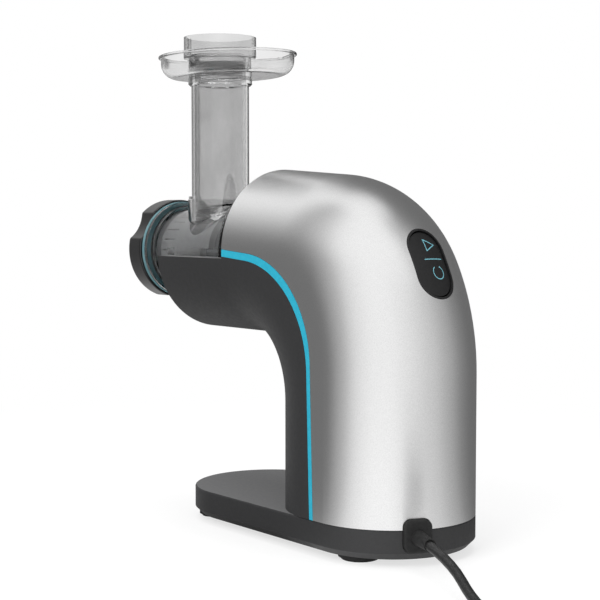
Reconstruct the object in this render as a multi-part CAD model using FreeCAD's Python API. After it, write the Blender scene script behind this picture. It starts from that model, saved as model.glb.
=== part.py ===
import FreeCAD, Part
import math
import os

# Cold press juicer, in millimetres.
# X is across, -Y is the front with the cap, +Z is up and the feet stand on z = 0.
# The origin is under the middle of the machine's depth, on the plane of symmetry.

V = FreeCAD.Vector
ACROSS = V(1, 0, 0)
DEPTH = V(0, 1, 0)
UP = V(0, 0, 1)

# Overall stations along the depth, all from the feed chute's axis
chute_to_cap_front = 79.5
chute_to_shell_rear = 278.5
chute_y = -(chute_to_shell_rear - chute_to_cap_front) / 2
rear_y = chute_y + chute_to_shell_rear
cap_front_y = chute_y - chute_to_cap_front

# Clearances
running = 0.08
loose = 0.4
seam = 0.2
touch = 0.3

# Body shells
body_radius = 65.0
shell_wall = 2.6
drum_axis_z = 219.0
base_top_z = 27.0
column_flat = 20.5
head_front_y = chute_y + 90.0
cradle_front_y = chute_y
cradle_ledge_z = 215.5
front_bend_radius = 110.0
crown_slope = 4.0
crown_turn = 58.0
crown_radius = 48.0
shoulder_radius = 124.0
shoulder_foot_z = 132.4
rear_centre_y = rear_y - body_radius
front_centre_y = rear_centre_y - column_flat

# Accent strip on each side
strip_low_z = 216.9
strip_width_head = 5.8
strip_low_foot_y = rear_centre_y - 15.5
strip_width_foot = 4.2
strip_slope = 4.5
strip_foot_slope = 88.2
strip_bend = 82.0

# Base
base_front_inset = 2.5
base_front_radius = body_radius - base_front_inset
base_front_centre_y = chute_y + 69.5
base_bottom_z = 5.0
base_wall = 3.0
base_chamfer = 5.0
cover_thickness = 2.5
vent_width = 3.0
vent_length = 34.0
vent_pitch = 8.0
vent_count = 5
foot_front_radius = 10.0
foot_rear_radius = 16.0
foot_front_x = base_front_radius - 24.5
foot_front_y = chute_y + 38.5
foot_rear_x = body_radius - 25.0
foot_rear_y = chute_y + 226.0
foot_step = 2.0
screw_radius = 1.7
screw_head_radius = 3.2
screw_inset = 12.0
screw_rear_y = rear_y - body_radius - 38.0

# Drum, on its axis at drum_axis_z
drum_radius = 36.0
drum_wall = 2.8
drum_front_y = chute_y - 56.5
drum_end_y = chute_y + 86.5
drum_end_wall = 6.0
flange_thickness = 9.5
flange_radius = 59.0
front_flange_radius = 41.2
front_flange_length = 4.0
neck_radius = 37.4
lock_ring_y = chute_y - 50.3
lock_ring_length = 2.4
lock_ring_radius = 38.6
back_ring_length = 2.6
back_ring_radius = 38.2
rail_low_z = 216.0
rail_height = 6.0
rail_reach = 51.0
rail_front_y = chute_y - 6.0
rail_end_y = drum_end_y - flange_thickness + 0.5
trough_clearance = 1.6

# Juice outlet under the drum
spout_y = chute_y - 37.5
spout_radius = 9.0
spout_wall = 1.8
spout_end_z = 173.0
sleeve_wall = 2.4
sleeve_height = 6.0
tab_reach = 20.0
tab_width = 11.0

# Strainer and auger
strainer_radius = 28.6
strainer_wall = 1.4
slot_count = 20
slot_width = 1.2
auger_radius = 26.4
auger_root_radius = 10.0
auger_core_rear = 12.0
auger_core_front = 20.0
flight_pitch = 19.0
flight_thickness = 3.2
flight_front_y = chute_y - 48.0
flight_length = 112.0
tip_radius = 4.5
shank_radius = 10.0

# Front cap
cap_radius = 43.5
cap_length = 19.5
scallop_radius = 28.0
scallop_depth = 5.0
scallop_angles = (30.0, 150.0, 270.0)
cap_edge_round = 2.4
cap_plug_wall = 2.6
pulp_hole_radius = 9.5
pulp_ring_radius = 14.0
cap_face_recess = 3.0
gasket_length = 3.0
gasket_radius = 41.8
gasket_bore = 34.5
lug_length = 2.0
lug_reach = 2.4
lug_arc = 24.0
lug_count = 3
cap_turn = 45.0

# Feed chute, hopper and pusher
chute_radius = 24.6
chute_wall = 2.3
chute_top_z = 377.5
collar_radius = 27.2
collar_low_z = 359.0
collar_height = 6.4
neck_socket_radius = 27.8
neck_socket_top_z = 262.5
shoulder_height = 2.2
hopper_half_width = 49.5
hopper_half_length = 67.5
hopper_centre_y = chute_y + 9.7
hopper_floor_z = collar_low_z + collar_height + touch
hopper_rim_z = 384.5
hopper_wall = 2.0
hopper_round = 12.5
hopper_lip = 2.2
hopper_lip_height = 2.2
hopper_neck_top_z = 381.3
hopper_neck_wall = 1.7
pusher_radius = 21.8
pusher_wall = 2.0
pusher_top_z = 400.0
pusher_ring_radius = 30.8
pusher_ring_wall = 2.2
pusher_ring_low_z = hopper_neck_top_z + touch
pusher_low_z = 249.5
pusher_slope = 10.0

# Drive train
output_radius = 8.0
hex_flat = 11.0
hex_length = 13.0
bush_wall = 3.0
centre_distance = 30.0
slow_module = 1.25
slow_pinion_teeth = 12
slow_gear_teeth = 36
fast_module = 1.0
fast_pinion_teeth = 12
fast_gear_teeth = 48
pressure_angle = 20.0
backlash = 0.3
gear_width = 9.0
gearbox_front_y = chute_y + 112.0
gearbox_wall = 3.0
gearbox_gap = 3.0
gearbox_depth = 34.0
gearbox_top_radius = 27.0
gearbox_middle_radius = 27.5
gearbox_low_radius = 8.5
axle_radius = 3.0
bulkhead_y = drum_end_y + 0.5
bulkhead_thickness = 4.0
post_radius = 4.0
post_circle = 44.0
post_angles = (30.0, 150.0, 205.0, 335.0)
motor_radius = 42.0
motor_can_wall = 2.4
motor_length = 78.0
motor_shaft_radius = 4.0
armature_radius = 19.5
armature_length = 42.0
air_gap = 0.8
field_bridge = 1.7
field_yoke = 6.45
field_half_height = 14.0
stator_length = 46.0
commutator_radius = 12.0
commutator_length = 6.0
fan_radius = 34.0
fan_length = 7.0
fan_blades = 11
stand_width = 46.0
stand_length = 44.0
stand_wall = 3.0
pad_thickness = 3.0

# Control key on the rear crown
key_width = 31.0
key_length = 53.0
key_tilt = 24.3
key_y = chute_y + 255.3
key_z = 214.1
key_recess = 1.2
key_thickness = 5.0
key_gap = 0.5
key_end_gap = 0.6
bezel_wall = 1.6
bezel_depth = 12.5
pin_radius = 1.5
pin_depth = 9.2
switch_depth = 10.0
switch_half = 10.0

# Mains lead
cord_diameter = 7.0
gland_angle = 24.6
gland_width = 21.0
gland_low_z = 11.0
gland_top_z = 35.0
gland_depth = 7.0
gland_proud = 3.4
gland_round = 6.0
relief_length = 24.0
relief_radius = 5.6
relief_tip_wall = 0.9
exit_z = 22.0
cord_lift = 0.7
floor_z = cord_diameter / 2 + cord_lift
cord_route = [
    V(27.68, 174.46, exit_z),
    V(54.12, 232.20, exit_z),
    V(77.2, 277.8, floor_z),
    V(94.5, 323.0, floor_z),
    V(106.0, 372.0, floor_z),
]
run_share = 0.45

# The part of the lead that is put away in a coil, and the plug on its end
coil_radius = 48.0
coil_pitch = 7.6
coil_turns_in = 5
coil_turns_out = 4
coil_tuck = 3.0
coil_lead_out = 32.0
tie_width = 10.0
tie_wall = 0.5
tie_slack = 1.3
plug_width = 28.0
plug_length = 32.0
plug_neck = 16.0
plug_round = 6.0
blade_radius = 2.4
blade_spacing = 19.0
blade_length = 19.0


def disc(radius, y0, y1, z=drum_axis_z, x=0.0):
    """A round bar along the depth, from y0 to y1."""
    return Part.makeCylinder(radius, y1 - y0, V(x, y0, z), DEPTH)


def ring(outer, inner, y0, y1, z=drum_axis_z):
    """A ring along the depth."""
    return disc(outer, y0, y1, z).cut(disc(inner, y0 - 1, y1 + 1, z))


def post(radius, z0, z1, x=0.0, y=0.0):
    """An upright round bar from z0 to z1."""
    return Part.makeCylinder(radius, z1 - z0, V(x, y, z0), UP)


def tube(outer, inner, z0, z1, x=0.0, y=0.0):
    """An upright tube."""
    return post(outer, z0, z1, x, y).cut(post(inner, z0 - 1, z1 + 1, x, y))


def block(x0, x1, y0, y1, z0, z1):
    """A box between two corners."""
    return Part.makeBox(x1 - x0, y1 - y0, z1 - z0, V(x0, y0, z0))


def cone(r0, r1, y0, y1, z=drum_axis_z):
    """A cone along the depth, radius r0 at y0 and r1 at y1."""
    return Part.makeCone(r0, r1, y1 - y0, V(0, y0, z), DEPTH)


def join(shapes):
    """All the shapes as one solid."""
    shapes = list(shapes)
    whole = shapes[0]
    if len(shapes) > 1:
        whole = whole.fuse(shapes[1:])
    return whole.removeSplitter()


def heading(slope):
    """Unit vector in the YZ plane, pointing to the rear and down by slope degrees."""
    angle = math.radians(slope)
    return V(0, math.cos(angle), -math.sin(angle))


def outward(slope):
    """Unit vector square to the heading, on its upper and rear side."""
    angle = math.radians(slope)
    return V(0, math.sin(angle), math.cos(angle))


def walk(start, slope, moves):
    """Edges of a path in the YZ plane that bends downwards.

    A move is ("line", length) or ("arc", radius, turn). Each step gives its kind, start,
    slope and sizes, and the last value is the path's end.
    """
    steps = []
    at = start
    for move in moves:
        if move[0] == "line":
            steps.append(("line", at, slope, move[1]))
            at = at + heading(slope) * move[1]
        else:
            centre = at - outward(slope) * move[1]
            steps.append(("arc", at, slope, move[1], move[2], centre))
            slope = slope + move[2]
            at = centre + outward(slope) * move[1]
    return steps, at


def path_edges(steps):
    """The path's edges, for an outline."""
    edges = []
    for step in steps:
        if step[0] == "line":
            edges.append(Part.LineSegment(step[1], step[1] + heading(step[2]) * step[3]).toShape())
        else:
            kind, at, slope, radius, turn, centre = step
            middle = centre + outward(slope + turn / 2) * radius
            end = centre + outward(slope + turn) * radius
            edges.append(Part.Arc(at, middle, end).toShape())
    return edges


def half_tube(steps, radius, side):
    """A half round bar swept along the path: side is 1 outside the bend and -1 inside it."""
    pieces = []
    for step in steps:
        at = step[1]
        out = outward(step[2]) * side
        left = at - ACROSS * radius
        right = at + ACROSS * radius
        arc = Part.Arc(left, at + out * radius, right).toShape()
        face = Part.Face(Part.Wire([arc, Part.LineSegment(right, left).toShape()]))
        if step[0] == "line":
            pieces.append(face.extrude(heading(step[2]) * step[3]))
        else:
            pieces.append(face.revolve(step[5], ACROSS, -step[4]))
    return pieces


def line(a, b):
    return Part.LineSegment(a, b).toShape()


def side_prism(edges, half_width):
    """An outline in the YZ plane made as wide as the body."""
    face = Part.Face(Part.Wire(Part.__sortEdges__(edges)))
    face.translate(V(-half_width, 0, 0))
    return face.extrude(V(2 * half_width, 0, 0))


def spines(end_z):
    """The two centre paths of the body's round front and rear, down to end_z."""
    steep = crown_slope + crown_turn
    foot = V(0, rear_centre_y, shoulder_foot_z)
    shoulder_centre = foot - V(0, shoulder_radius, 0)
    shoulder_start = shoulder_centre + outward(steep) * shoulder_radius
    crown_centre = shoulder_start - outward(steep) * crown_radius
    crown_start = crown_centre + outward(crown_slope) * crown_radius
    lead = (crown_start.y - cradle_front_y) / math.cos(math.radians(crown_slope))
    start = crown_start - heading(crown_slope) * lead
    rear, _ = walk(start, crown_slope, [
        ("line", lead),
        ("arc", crown_radius, crown_turn),
        ("arc", shoulder_radius, 90 - steep),
        ("line", shoulder_foot_z - end_z),
    ])
    arc_start = front_centre_y - front_bend_radius
    front, _ = walk(V(0, cradle_front_y, drum_axis_z), 0, [
        ("line", arc_start - cradle_front_y),
        ("arc", front_bend_radius, 90),
        ("line", drum_axis_z - front_bend_radius - end_z),
    ])
    return rear, front


def body_blank(inset, end_z):
    """The whole body as one solid, drawn in by inset."""
    rear, front = spines(end_z)
    radius = body_radius - inset
    rear_end = V(0, rear_centre_y, end_z)
    front_end = V(0, front_centre_y, end_z)
    edges = path_edges(rear) + path_edges(front)
    edges += [line(rear[0][1], front[0][1]), line(rear_end, front_end)]
    slab = side_prism(edges, radius)
    return join([slab] + half_tube(rear, radius, 1) + half_tube(front, radius, -1))


def strip_edge(offset, width_head, width_foot):
    """One long edge of the accent strip, offset outwards from its inner edge."""
    y0 = head_front_y
    z0 = strip_low_z + width_head + offset
    y1 = strip_low_foot_y + width_foot + offset
    z1 = base_top_z - 1
    a = math.radians(strip_slope)
    b = math.radians(strip_foot_slope)
    dy = y1 - y0 - strip_bend * (math.sin(b) - math.sin(a))
    dz = z0 - z1 - strip_bend * (math.cos(a) - math.cos(b))
    turn = math.sin(b - a)
    first = (dy * math.sin(b) - dz * math.cos(b)) / turn
    last = (dz * math.cos(a) - dy * math.sin(a)) / turn
    steps, end = walk(V(0, y0, z0), strip_slope, [
        ("line", first),
        ("arc", strip_bend, strip_foot_slope - strip_slope),
        ("line", last),
    ])
    return path_edges(steps), V(0, y0, z0), end


def region(edge, corners):
    """The part of space on one side of a strip edge, closed through the given corners."""
    edges, start, end = edge
    points = [end] + corners + [start]
    edges = edges + [line(a, b) for a, b in zip(points, points[1:])]
    return side_prism(edges, 2 * body_radius)


def front_region(offset):
    far = base_top_z - 1
    front = cradle_front_y - body_radius
    return region(strip_edge(-offset, 0, 0), [
        V(0, front, far),
        V(0, front, cradle_ledge_z),
        V(0, head_front_y, cradle_ledge_z),
    ])


def rear_region(offset):
    far = base_top_z - 1
    high = drum_axis_z + 2 * body_radius
    back = rear_y + body_radius
    return region(strip_edge(offset, strip_width_head, strip_width_foot), [
        V(0, back, far),
        V(0, back, high),
        V(0, head_front_y, high),
    ])


def strip_region():
    low, low_start, low_end = strip_edge(seam / 2, 0, 0)
    high, high_start, high_end = strip_edge(-seam / 2, strip_width_head, strip_width_foot)
    edges = low + high + [line(low_start, high_start), line(low_end, high_end)]
    return side_prism(edges, 2 * body_radius)


body_outer = body_blank(0, base_top_z)
body_inner = body_blank(shell_wall, base_top_z - 2)
trough_radius = drum_radius + trough_clearance


def key_frame(shape):
    """Places a shape drawn on a level plane at the origin onto the rear crown."""
    shape = shape.copy()
    shape.rotate(V(0, 0, 0), ACROSS, -(90 - key_tilt))
    shape.translate(V(0, key_y, key_z))
    return shape


def oval(width, length, z0, z1):
    """An upright slab with round ends, its long side along the depth."""
    radius = width / 2
    half = length / 2 - radius
    ends = [post(radius, z0, z1, 0, half), post(radius, z0, z1, 0, -half)]
    return join(ends + [block(-radius, radius, -half, half, z0, z1)])


def make_rear_shell():
    shell = body_outer.common(rear_region(seam / 2)).cut(body_inner)
    well = oval(key_width + 2 * bezel_wall + 2 * seam, key_length + 2 * bezel_wall + 2 * seam,
                -30, 30)
    shell = shell.cut(key_frame(well))
    return shell.cut(gland_block(touch, 30))


def make_front_shell():
    outer = body_outer.common(front_region(seam / 2))
    ledge = cradle_ledge_z - shell_wall
    cavity = body_inner.common(front_region(seam / 2))
    shelf = block(-body_radius, body_radius, cradle_front_y - 1, bulkhead_y - touch,
                  ledge, cradle_ledge_z + 10)
    apron = block(-body_radius, body_radius, cradle_front_y - 1, cradle_front_y + shell_wall,
                  0, cradle_ledge_z + 10)
    trough = disc(trough_radius + shell_wall, cradle_front_y - 1, bulkhead_y - touch)
    shell = outer.cut(cavity.cut(shelf).cut(apron).cut(trough))
    return shell.cut(disc(trough_radius, cradle_front_y - 5, bulkhead_y))


def make_strips():
    wall = body_outer.cut(body_inner).common(strip_region())
    left = wall.common(block(-2 * body_radius, 0, -500, 500, 0, 500))
    right = wall.common(block(0, 2 * body_radius, -500, 500, 0, 500))
    return {"accent_strip_left": left, "accent_strip_right": right}


def hull(y0, r0, y1, r1, z0, z1, inset=0.0):
    """A slab round two circles on the plane of symmetry, drawn in by inset."""
    lean = math.asin((r1 - r0) / (y1 - y0))
    r0 = r0 - inset
    r1 = r1 - inset
    side = V(math.cos(lean), -math.sin(lean), 0)
    other = V(-math.cos(lean), -math.sin(lean), 0)
    low = V(0, y0, z0)
    high = V(0, y1, z0)
    edges = [
        Part.Arc(low + side * r0, low - V(0, r0, 0), low + other * r0).toShape(),
        line(low + other * r0, high + other * r1),
        Part.Arc(high + other * r1, high + V(0, r1, 0), high + side * r1).toShape(),
        line(high + side * r1, low + side * r0),
    ]
    return Part.Face(Part.Wire(edges)).extrude(V(0, 0, z1 - z0))


def base_hull(z0, z1, inset=0.0):
    return hull(base_front_centre_y, base_front_radius, rear_centre_y, body_radius,
                z0, z1, inset)


def bottom_edges(shape, z):
    return [e for e in shape.Edges
            if abs(e.BoundBox.ZMax - z) < 1e-4 and abs(e.BoundBox.ZMin - z) < 1e-4]


def screw_places():
    """Centres of the four long screws, at one distance inside the base's outline."""
    share = (screw_rear_y - base_front_centre_y) / (rear_centre_y - base_front_centre_y)
    rear_half = base_front_radius + share * (body_radius - base_front_radius)
    return [(side * (half - screw_inset), y)
            for side in (-1, 1)
            for half, y in ((base_front_radius, base_front_centre_y),
                            (rear_half, screw_rear_y))]


def make_base():
    blank = base_hull(base_bottom_z, base_top_z)
    blank = blank.makeChamfer(base_chamfer, bottom_edges(blank, base_bottom_z))
    blank = blank.makeFillet(1.5, [e for e in bottom_edges(blank, base_top_z)
                                   if e.BoundBox.YMax < rear_centre_y - 1])
    room = base_hull(base_bottom_z - 1, base_top_z - base_wall, base_wall + base_chamfer)
    base = blank.cut(room)
    wire_way = post(12.0, base_top_z - base_wall - 1, base_top_z + 1, 0, rear_centre_y)
    base = base.cut(wire_way)
    for x, y in screw_places():
        boss = post(5.0, cover_top_z() + 0.05, base_top_z - base_wall + 0.5, x, y)
        base = base.fuse(boss)
        base = base.cut(post(screw_radius, 0, base_top_z - 4.0, x, y))
    return base.cut(gland_block(touch, 30)).removeSplitter()


def cover_top_z():
    return base_bottom_z + cover_thickness


def make_cover():
    cover = base_hull(base_bottom_z, cover_top_z(), base_wall + base_chamfer + touch)
    for x, y in screw_places():
        cover = cover.cut(post(screw_radius + 0.2, 0, 20, x, y))
        cover = cover.cut(post(screw_head_radius + 0.2, 0, base_bottom_z + 1.2, x, y))
    for row in (-1, 1):
        for i in range(vent_count):
            y = rear_centre_y - 30.0 - i * vent_pitch
            x0 = 3.0 if row > 0 else -3.0 - vent_length
            cover = cover.cut(block(x0, x0 + vent_length, y, y + vent_width, 0, 20))
    return cover


def make_base_screws():
    screws = []
    for x, y in screw_places():
        head = post(screw_head_radius, base_bottom_z - 0.6, base_bottom_z + 1.1, x, y)
        cross = block(x - 2.0, x + 2.0, y - 0.4, y + 0.4, base_bottom_z - 2, base_bottom_z)
        shank = post(screw_radius - 0.05, base_bottom_z, base_top_z - 5.0, x, y)
        screws.append(join([head, shank]).cut(cross))
    return Part.makeCompound(screws)


def make_foot(radius, x, y):
    """A stepped rubber foot under the base cover."""
    wide = post(radius, foot_step, base_bottom_z, x, y)
    tread = post(radius - foot_step, 0, foot_step, x, y)
    foot = join([wide, tread])
    rim = bottom_edges(foot, 0.0)
    return foot.makeFillet(0.8, rim)


def make_bulkhead():
    radius = body_radius - shell_wall - touch
    y1 = bulkhead_y + bulkhead_thickness
    plate = disc(radius, bulkhead_y, y1)
    hub = disc(output_radius + bush_wall + 3.0, bulkhead_y, y1 + 8.0)
    plate = join([plate, hub])
    plate = plate.cut(disc(output_radius + bush_wall, bulkhead_y - 1, y1 + 20))
    for angle in post_angles:
        a = math.radians(angle)
        x = post_circle * math.cos(a)
        z = drum_axis_z + post_circle * math.sin(a)
        plate = plate.cut(disc(screw_radius + 0.2, bulkhead_y - 1, y1 + 1, z, x))
    return plate


def make_output_seal():
    return ring(output_radius + bush_wall - 0.05, output_radius + running,
                bulkhead_y, bulkhead_y + 4.0)


def outlet_tube(outer, z0):
    return post(outer, z0, drum_axis_z - drum_radius + 3.0, 0, spout_y)


def upper_half():
    return block(-100, 100, -500, 500, rail_low_z, 500)


def make_drum():
    inner = drum_radius - drum_wall
    a = drum_front_y + front_flange_length
    b = lock_ring_y + lock_ring_length + touch
    bottom = outlet_tube(spout_radius, spout_end_z)
    flange = disc(flange_radius, drum_end_y - flange_thickness, drum_end_y)
    neck = post(neck_socket_radius, drum_axis_z, neck_socket_top_z, 0, chute_y)
    rails = [block(min(s * 30.0, s * rail_reach), max(s * 30.0, s * rail_reach),
                   rail_front_y, rail_end_y, rail_low_z, rail_low_z + rail_height)
             for s in (-1, 1)]
    drum = join([
        disc(drum_radius, drum_front_y, drum_end_y),
        disc(front_flange_radius, drum_front_y, a),
        disc(neck_radius, a - 0.5, b + 0.5),
        disc(back_ring_radius, b, b + back_ring_length),
        bottom, flange.common(upper_half()), neck] + rails)
    drum = drum.cut(disc(inner, drum_front_y - 1, drum_end_y - drum_end_wall))
    drum = drum.cut(disc(shank_radius + running, drum_front_y, drum_end_y + 1))
    drum = drum.cut(post(spout_radius - spout_wall, 0, drum_axis_z, 0, spout_y))
    drum = drum.cut(post(chute_radius + loose, drum_axis_z, 400, 0, chute_y))
    groove = drum_front_y + 1.1
    drum = drum.cut(disc(inner + lug_reach + 0.4, groove, groove + lug_length + 0.6))
    for i in range(lug_count):
        notch = sector(inner + lug_reach + 0.4, inner - 2, drum_front_y - 1, groove + 1,
                       90.0 + cap_turn + i * 360.0 / lug_count, lug_arc + 4.0)
        drum = drum.cut(notch)
    return drum.removeSplitter()


def sector(outer, inner, y0, y1, middle, width):
    """A stretch of a ring about the drum's axis. Angles start at +X and turn to +Z."""
    bar = Part.makeCylinder(outer, y1 - y0, V(0, y0, drum_axis_z), DEPTH, width)
    bar = bar.cut(disc(inner, y0 - 1, y1 + 1))
    start = bar.BoundBox.Center
    lead = math.degrees(math.atan2(start.z - drum_axis_z, start.x))
    bar.rotate(V(0, 0, drum_axis_z), DEPTH, -(middle - lead))
    return bar


def make_lock_ring():
    return ring(lock_ring_radius, neck_radius + 0.1, lock_ring_y,
                lock_ring_y + lock_ring_length)


def make_spout_sleeve():
    top = spout_end_z + sleeve_height
    outer = spout_radius + sleeve_wall
    sleeve = post(outer, spout_end_z - 1.2, top - 2, 0, spout_y)
    tab = block(-tab_width / 2, tab_width / 2, spout_y - tab_reach, spout_y,
                spout_end_z - 1.2, spout_end_z + 2.4)
    tab = tab.makeFillet(1.0, tab.Edges)
    sleeve = join([sleeve, tab])
    return sleeve.cut(post(spout_radius + 0.1, 0, 300, 0, spout_y))


def make_strainer():
    inner = strainer_radius - strainer_wall
    y0 = drum_front_y + 7.0
    y1 = chute_y + 30.0
    body = ring(strainer_radius, inner, y0, y1)
    rim = drum_radius - drum_wall - 0.15
    body = join([body, ring(rim, inner, y0, y0 + 2.0), ring(rim, inner, y1 - 2.0, y1)])
    body = body.cut(post(chute_radius + 1.0, drum_axis_z, 400, 0, chute_y))
    slots = []
    for i in range(slot_count):
        angle = i * 360.0 / slot_count
        slot = block(strainer_radius - 4, strainer_radius + 1, y0 + 4.0, y0 + 22.0,
                     -slot_width / 2, slot_width / 2)
        slot.translate(V(0, 0, drum_axis_z))
        slot.rotate(V(0, 0, drum_axis_z), DEPTH, angle)
        slots.append(slot)
    return body.cut(slots)


def hexagon(flat, y0, y1):
    radius = flat / math.sqrt(3)
    points = [V(radius * math.cos(math.radians(60 * i)), y0,
                drum_axis_z + radius * math.sin(math.radians(60 * i))) for i in range(7)]
    return Part.Face(Part.makePolygon(points)).extrude(V(0, y1 - y0, 0))


def make_auger():
    end = drum_end_y - 0.5
    start = flight_front_y
    helix = Part.makeHelix(flight_pitch, flight_length, auger_radius)
    t = flight_thickness / 2
    r0 = auger_root_radius
    r1 = auger_radius
    profile = Part.makePolygon([V(r0, 0, -t - 1), V(r1, 0, -t), V(r1, 0, t),
                                V(r0, 0, t + 1), V(r0, 0, -t - 1)])
    flight = Part.Wire(helix.Edges).makePipeShell([profile], True, True)
    flight.rotate(V(0, 0, 0), ACROSS, -90)
    flight.translate(V(0, start, drum_axis_z))
    run = start + flight_length
    core = cone(auger_core_front, auger_core_rear, start - 3.0, run + 4.0)
    core = join([core, disc(auger_core_rear, run + 3.5, drum_end_y - drum_end_wall - 0.5),
                 disc(shank_radius, run, end),
                 disc(tip_radius, cap_front_y + 4.0, start),
                 cone(tip_radius, auger_core_front - 6.0, start - 9.0, start - 2.9)])
    collar = disc(auger_radius, run + 3.0, run + 7.0)
    auger = join([core, flight, collar])
    auger = auger.cut(disc(auger_radius + 5, run + 6.9, run + 50).cut(
        disc(auger_core_rear + 0.01, run, run + 60)))
    socket = hexagon(hex_flat + 0.3, end - hex_length, end + 1)
    return auger.cut(socket)


def lobed(radius, y0, y1):
    """A round knob with scallops cut out of its rim."""
    knob = disc(radius, y0, y1)
    reach = radius + scallop_radius - scallop_depth
    for angle in scallop_angles:
        a = math.radians(angle)
        knob = knob.cut(disc(scallop_radius, y0 - 1, y1 + 1,
                             drum_axis_z + reach * math.sin(a), reach * math.cos(a)))
    return knob


def make_cap():
    y0 = cap_front_y
    y1 = y0 + cap_length
    knob = lobed(cap_radius, y0, y1)
    upright = [e for e in knob.Edges if abs(e.BoundBox.YLength - cap_length) < 1e-3]
    knob = knob.makeFillet(3.0, upright)
    front = [e for e in knob.Edges if e.BoundBox.YMax < y0 + 1e-3]
    knob = knob.makeFillet(cap_edge_round, front)
    back = [e for e in knob.Edges if e.BoundBox.YMin > y1 - 1e-3]
    knob = knob.makeFillet(1.5, back)
    dish = ring(cap_radius - 12.0, pulp_ring_radius, y0 - 1, y0 + cap_face_recess)
    knob = knob.cut(dish)
    knob = knob.cut(disc(drum_radius - drum_wall - loose - cap_plug_wall, y0 + 8.0, y1 + 1))
    plug_radius = drum_radius - drum_wall - loose
    plug = ring(plug_radius, plug_radius - cap_plug_wall, y0 + 8.0, drum_front_y + 5.5)
    lugs = []
    groove = drum_front_y + 1.1 + 0.3
    for i in range(lug_count):
        lugs.append(sector(plug_radius + lug_reach, plug_radius - 1.0, groove,
                           groove + lug_length, 90.0 + i * 360.0 / lug_count, lug_arc))
    nozzle = ring(pulp_ring_radius, pulp_hole_radius, y0, y0 + 12.0)
    knob = join([knob, plug, nozzle] + lugs)
    return knob.cut(disc(pulp_hole_radius, y0 - 1, y0 + 13.0))


def make_gasket():
    y0 = drum_front_y - touch - gasket_length
    band = ring(gasket_radius, gasket_bore, y0, y0 + gasket_length)
    return band.makeFillet(0.8, [e for e in band.Edges
                                 if e.BoundBox.XLength > 2 * gasket_radius - 1])


def make_chute():
    top = chute_top_z
    low = drum_axis_z + 15.0
    shell = tube(chute_radius, chute_radius - chute_wall, low, top, 0, chute_y)
    collar = tube(collar_radius, chute_radius - 0.5, collar_low_z,
                  collar_low_z + collar_height, 0, chute_y)
    collar = collar.makeChamfer(1.5, [e for e in bottom_edges(collar, collar_low_z)
                                      if e.BoundBox.XLength > 2 * collar_radius - 1])
    seat = neck_socket_top_z + touch
    shoulder = tube(collar_radius, chute_radius - 0.5, seat, seat + shoulder_height, 0, chute_y)
    chute = join([shell, collar, shoulder])
    return chute.cut(disc(drum_radius - drum_wall + 0.3, chute_y - 60, chute_y + 60))


def ellipse_slab(half_x, half_y, z0, z1):
    curve = Part.Ellipse(V(0, hopper_centre_y, z0), half_y, half_x).toShape()
    curve.rotate(V(0, hopper_centre_y, z0), UP, 90)
    return Part.Face(Part.Wire(curve)).extrude(V(0, 0, z1 - z0))


def make_hopper():
    z0 = hopper_floor_z
    z1 = hopper_rim_z
    outer = ellipse_slab(hopper_half_width, hopper_half_length, z0, z1)
    outer = outer.makeFillet(hopper_round, bottom_edges(outer, z0))
    lip = ellipse_slab(hopper_half_width + hopper_lip, hopper_half_length + hopper_lip,
                       z1 - hopper_lip_height, z1)
    lip = lip.makeFillet(0.9, bottom_edges(lip, z1) + bottom_edges(lip, z1 - hopper_lip_height))
    inner = ellipse_slab(hopper_half_width - hopper_wall, hopper_half_length - hopper_wall,
                         z0 + hopper_wall, z1 + 5)
    inner = inner.makeFillet(hopper_round - hopper_wall, bottom_edges(inner, z0 + hopper_wall))
    bore = chute_radius + loose
    neck = post(bore + hopper_neck_wall, z0 + 0.5, hopper_neck_top_z, 0, chute_y)
    bowl = join([outer, lip]).cut(inner)
    bowl = join([bowl, neck])
    return bowl.cut(post(bore, 0, 500, 0, chute_y))


def make_pusher():
    """An open cup with a wide rim, and a slanted floor that clears the auger."""
    r = pusher_radius
    slope = math.radians(pusher_slope)

    def slanted(radius, low):
        bar = post(radius, pusher_low_z - 20, pusher_ring_low_z + 2.5, 0, chute_y)
        knife = block(-60, 60, -60, 60, -60, 0)
        knife.rotate(V(0, 0, 0), ACROSS, math.degrees(slope))
        knife.translate(V(0, chute_y, low + r * math.tan(slope)))
        return bar.cut(knife)

    body = slanted(r, pusher_low_z)
    rim = post(pusher_ring_radius, pusher_ring_low_z, pusher_top_z, 0, chute_y)
    rim = rim.makeFillet(1.2, bottom_edges(rim, pusher_ring_low_z))
    solid = join([body, rim])
    hollow = slanted(r - pusher_wall, pusher_low_z + pusher_wall)
    pocket = post(pusher_ring_radius - pusher_ring_wall, pusher_ring_low_z + 2.4,
                  pusher_top_z + 1, 0, chute_y)
    cup = solid.cut(hollow).cut(pocket)
    return cup


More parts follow.
